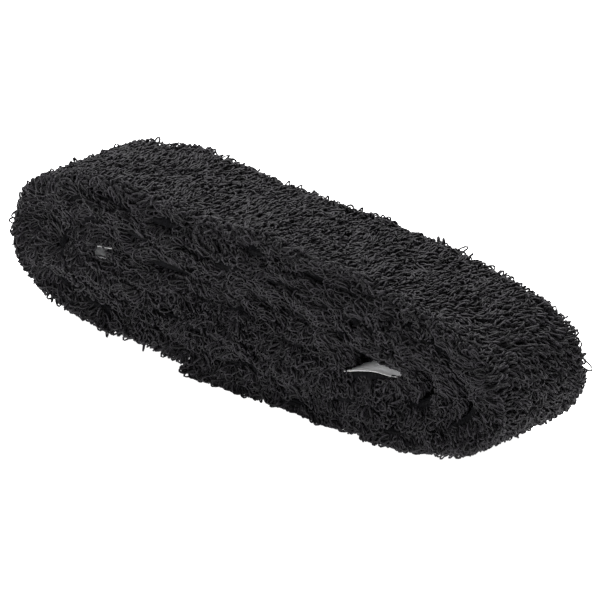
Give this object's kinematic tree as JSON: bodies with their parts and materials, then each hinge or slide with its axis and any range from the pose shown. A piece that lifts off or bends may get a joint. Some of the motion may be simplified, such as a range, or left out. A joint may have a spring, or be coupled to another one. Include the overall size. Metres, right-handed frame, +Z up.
{
  "type": "racket towel grip coil",
  "caption": "Self-adhesive terry towelling grip strip for a racket handle, release paper still on, wound into a flat oblong coil with its loops facing out",
  "frame": {"origin": "middle of the coil's box, on the face it rests on", "axes": "X along the coil with the pointed eye and nose towards +X, Y across the strip's width with the open face seen in front towards -Y, Z up through the stack of plies"},
  "size_m": [0.1436, 0.0298, 0.0397],
  "materials": {
    "woven_cotton": "black plain-woven cotton, matt",
    "cotton_loops": "black twisted cotton yarn in uncut loops, matt with a soft sheen",
    "adhesive": "pressure-sensitive adhesive film, pale and slightly glossy",
    "release_paper": "white siliconised release paper, smooth with a faint sheen"
  },
  "bodies": {
    "root": {"ground_cloth": "woven_cotton", "loop_pile": "cotton_loops", "adhesive_film": "adhesive", "release_paper": "release_paper"}
  },
  "joints": []
}
